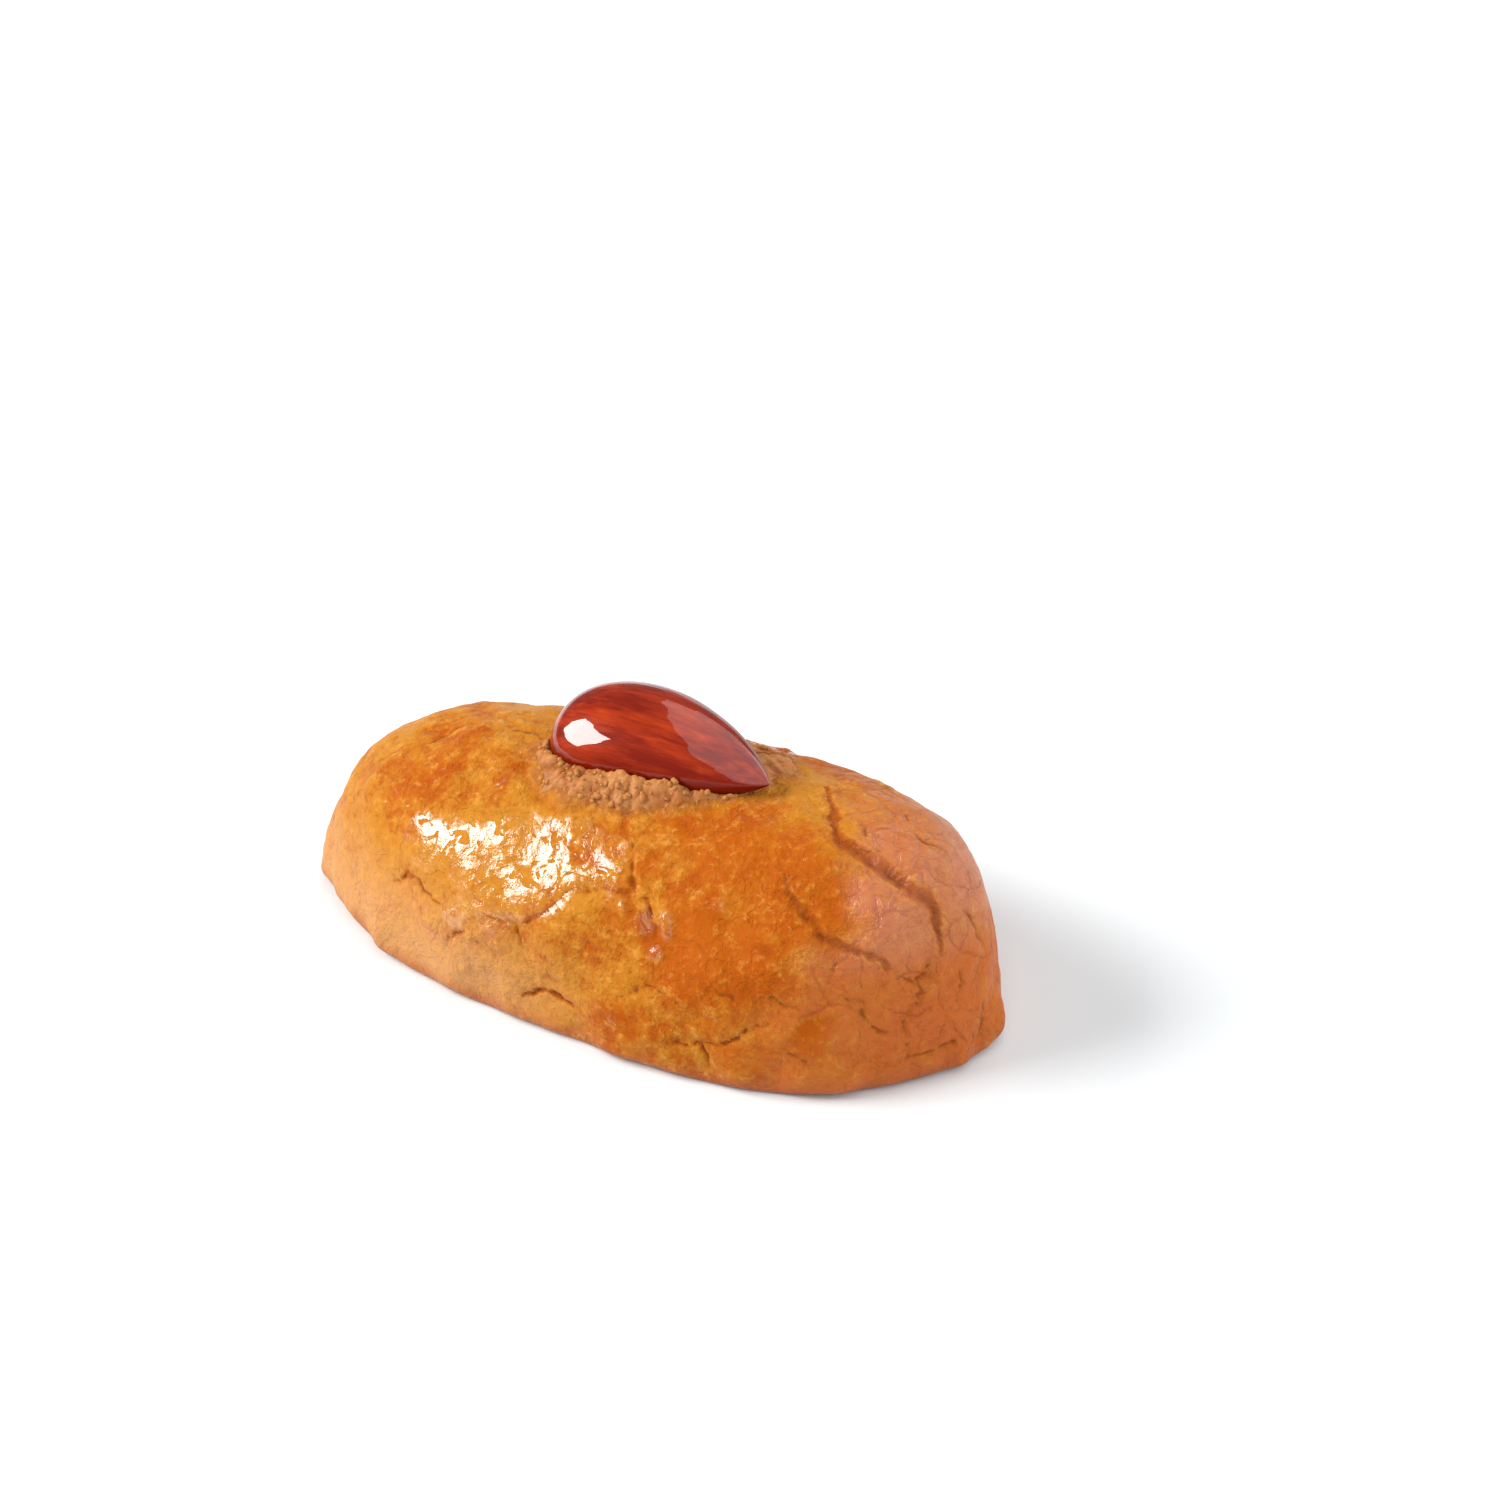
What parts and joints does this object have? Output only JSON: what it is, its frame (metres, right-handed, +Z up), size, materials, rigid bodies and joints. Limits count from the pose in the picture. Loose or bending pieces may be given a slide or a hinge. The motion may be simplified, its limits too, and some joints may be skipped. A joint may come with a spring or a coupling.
{
  "type": "syrup-soaked cookie",
  "caption": "Oblong syrup-soaked cookie with a glossy cracked crust, a flat underside and a glazed almond pressed into its top.",
  "frame": {"origin": "under the middle of the whole's bounding box, on the flat underside the cookie rests on", "axes": "+X along the cookie towards its blunt end, +Z up, -Y towards the side the picture shows"},
  "size_m": [0.074, 0.0388, 0.0281],
  "materials": {
    "glazed_crust": "baked amber crust under a thin coat of clear syrup, patchily glossy",
    "glazed_almond": "brown almond skin under a thick glossy glaze"
  },
  "bodies": {
    "root": {"cookie": "glazed_crust", "almond": "glazed_almond"}
  },
  "joints": []
}
